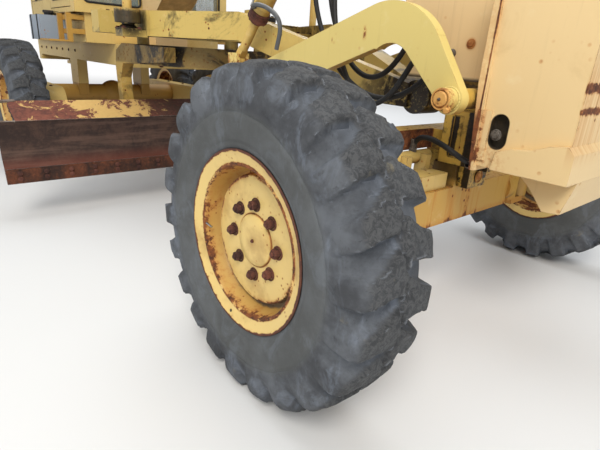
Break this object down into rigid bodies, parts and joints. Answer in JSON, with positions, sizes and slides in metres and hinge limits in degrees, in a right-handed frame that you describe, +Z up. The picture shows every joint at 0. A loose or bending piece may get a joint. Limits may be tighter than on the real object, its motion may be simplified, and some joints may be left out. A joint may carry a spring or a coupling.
{
  "type": "motor grader",
  "caption": "Compact motor grader with gooseneck frame, turning blade, mid scarifier, cab and tandem rear wheels.",
  "frame": {"origin": "centre of the machine's box, on the ground", "axes": "+X forward, +Y to the machine's left, +Z up"},
  "size_m": [6.718, 3.05, 3.0299],
  "materials": {
    "paint_yellow": "faded yellow paint with rust at its edges",
    "paint_cream": "sun-bleached yellow paint",
    "paint_ochre": "dirty ochre paint",
    "paint_grey": "grey-blue paint",
    "rusty_steel": "brown rust",
    "dark_plate": "dark worn plate",
    "rod_steel": "ground steel",
    "tyre_rubber": "dusty grey-blue rubber",
    "hose_rubber": "black rubber",
    "black_iron": "sooty black",
    "black_vinyl": "worn vinyl",
    "window_glass": "clear",
    "lamp_lens": "lamp lens"
  },
  "bodies": {
    "chassis": {"gooseneck": "paint_yellow", "lift_saddle": "paint_yellow", "rear_frame": "paint_yellow", "front_bolster": "paint_yellow", "front_nose": "paint_cream", "front_axle": "paint_yellow", "steering_cylinder": "paint_yellow", "rear_axle": "paint_ochre", "tandem_cases": "paint_yellow", "cab_shell": "paint_yellow", "cab_glass": "window_glass", "seat": "black_vinyl", "console": "paint_grey", "engine_hood": "paint_yellow", "radiator_grille": "black_iron", "engine_block": "black_iron", "exhaust": "rusty_steel", "fuel_tank": "paint_grey", "steps": "paint_ochre", "lamps": "lamp_lens", "mirrors": "black_iron", "hoses": "hose_rubber"},
    "steer_left_body": {"knuckle_left": "paint_ochre"},
    "steer_right_body": {"knuckle_right": "paint_ochre"},
    "steering_link": {"tie_rod": "paint_ochre"},
    "drawbar_body": {"drawbar": "paint_yellow"},
    "circle_body": {"circle": "paint_yellow"},
    "carrier_body": {"blade_carrier": "paint_ochre"},
    "board_body": {"moldboard": "dark_plate", "cutting_edge": "rusty_steel"},
    "lift_barrels": {"lift_cylinders": "paint_yellow"},
    "lift_rod_pair": {"lift_rods": "rod_steel"},
    "scarifier_body": {"scarifier_arms": "paint_yellow", "scarifier_teeth": "rusty_steel"},
    "scarifier_barrel": {"scarifier_cylinder": "paint_yellow"},
    "scarifier_piston": {"scarifier_rod": "rod_steel"},
    "door_left_body": {"door_left": "paint_yellow"},
    "door_right_body": {"door_right": "paint_yellow"},
    "wheel_front_left": {"rim_front_left": "paint_yellow", "tyre_front_left": "tyre_rubber"},
    "wheel_front_right": {"rim_front_right": "paint_yellow", "tyre_front_right": "tyre_rubber"},
    "wheel_mid_left": {"rim_mid_left": "paint_yellow", "tyre_mid_left": "tyre_rubber"},
    "wheel_mid_right": {"rim_mid_right": "paint_yellow", "tyre_mid_right": "tyre_rubber"},
    "wheel_rear_left": {"rim_rear_left": "paint_yellow", "tyre_rear_left": "tyre_rubber"},
    "wheel_rear_right": {"rim_rear_right": "paint_yellow", "tyre_rear_right": "tyre_rubber"}
  },
  "joints": [
    {"name": "steer_left", "type": "hinge", "parent": "chassis", "child": "steer_left_body", "pos_m": [2.739, 0.72, 0.56], "axis": [0, 0, 1], "range_deg": [-35, 35]},
    {"name": "steer_right", "type": "hinge", "parent": "chassis", "child": "steer_right_body", "pos_m": [2.739, -0.72, 0.56], "axis": [0, 0, 1], "range_deg": [-35, 35]},
    {"name": "tie_rod_slide", "type": "slide", "parent": "chassis", "child": "steering_link", "axis": [0, 1, 0], "range_m": [-0.1, 0.1]},
    {"name": "spin_front_left", "type": "hinge", "parent": "steer_left_body", "child": "wheel_front_left", "pos_m": [2.739, 1.08, 0.56], "axis": [0, 1, 0], "continuous": true},
    {"name": "spin_front_right", "type": "hinge", "parent": "steer_right_body", "child": "wheel_front_right", "pos_m": [2.739, -1.08, 0.56], "axis": [0, 1, 0], "continuous": true},
    {"name": "spin_mid_left", "type": "hinge", "parent": "chassis", "child": "wheel_mid_left", "pos_m": [-1.181, 1.08, 0.56], "axis": [0, 1, 0], "continuous": true},
    {"name": "spin_mid_right", "type": "hinge", "parent": "chassis", "child": "wheel_mid_right", "pos_m": [-1.181, -1.08, 0.56], "axis": [0, 1, 0], "continuous": true},
    {"name": "spin_rear_left", "type": "hinge", "parent": "chassis", "child": "wheel_rear_left", "pos_m": [-2.461, 1.08, 0.56], "axis": [0, 1, 0], "continuous": true},
    {"name": "spin_rear_right", "type": "hinge", "parent": "chassis", "child": "wheel_rear_right", "pos_m": [-2.461, -1.08, 0.56], "axis": [0, 1, 0], "continuous": true},
    {"name": "drawbar_lift", "type": "hinge", "parent": "chassis", "child": "drawbar_body", "pos_m": [2.509, 0, 0.98], "axis": [0, 1, 0], "range_deg": [-7.4, 5]},
    {"name": "circle_turn", "type": "hinge", "parent": "drawbar_body", "child": "circle_body", "pos_m": [0.589, 0, 1.075], "axis": [0, 0, 1], "range_deg": [-40, 40]},
    {"name": "blade_tilt", "type": "hinge", "parent": "circle_body", "child": "carrier_body", "pos_m": [0.319, 0, 0.45], "axis": [0, 1, 0], "range_deg": [-8, 15]},
    {"name": "blade_shift", "type": "slide", "parent": "carrier_body", "child": "board_body", "axis": [0, 1, 0], "range_m": [-0.15, 0.15]},
    {"name": "lift_barrel_swing", "type": "hinge", "parent": "chassis", "child": "lift_barrels", "pos_m": [0.789, 0, 1.95], "axis": [0, 1, 0], "range_deg": [-1.65, 2.44]},
    {"name": "lift_rod_slide", "type": "slide", "parent": "lift_barrels", "child": "lift_rod_pair", "axis": [0, 0, -1], "range_m": [-0.1514, 0.2241]},
    {"name": "scarifier_lift", "type": "hinge", "parent": "chassis", "child": "scarifier_body", "pos_m": [2.911, 0, 1.017], "axis": [0, 1, 0], "range_deg": [-11.5, 0]},
    {"name": "scarifier_barrel_swing", "type": "hinge", "parent": "chassis", "child": "scarifier_barrel", "pos_m": [2.019, -0.465, 1.62], "axis": [0, 1, 0], "range_deg": [-11.47, 0]},
    {"name": "scarifier_rod_slide", "type": "slide", "parent": "scarifier_barrel", "child": "scarifier_piston", "axis": [-0.6388, 0, -0.7694], "range_m": [0, 0.21574]},
    {"name": "door_left_swing", "type": "hinge", "parent": "chassis", "child": "door_left_body", "pos_m": [-1.199, 0.732, 2], "axis": [0, 0, 1], "range_deg": [0, 85]},
    {"name": "door_right_swing", "type": "hinge", "parent": "chassis", "child": "door_right_body", "pos_m": [-1.199, -0.732, 2], "axis": [0, 0, -1], "range_deg": [0, 85]}
  ],
  "couplings": [
    {"joint": "steer_right", "follows": "steer_left", "ratio": 1},
    {"joint": "tie_rod_slide", "follows": "steer_left", "m_per_rad": -0.16},
    {"joint": "lift_barrel_swing", "follows": "drawbar_lift", "ratio": -0.33},
    {"joint": "lift_rod_slide", "follows": "drawbar_lift", "m_per_rad": -1.735},
    {"joint": "scarifier_barrel_swing", "follows": "scarifier_lift", "ratio": 0.99772},
    {"joint": "scarifier_rod_slide", "follows": "scarifier_lift", "m_per_rad": -1.0749}
  ]
}
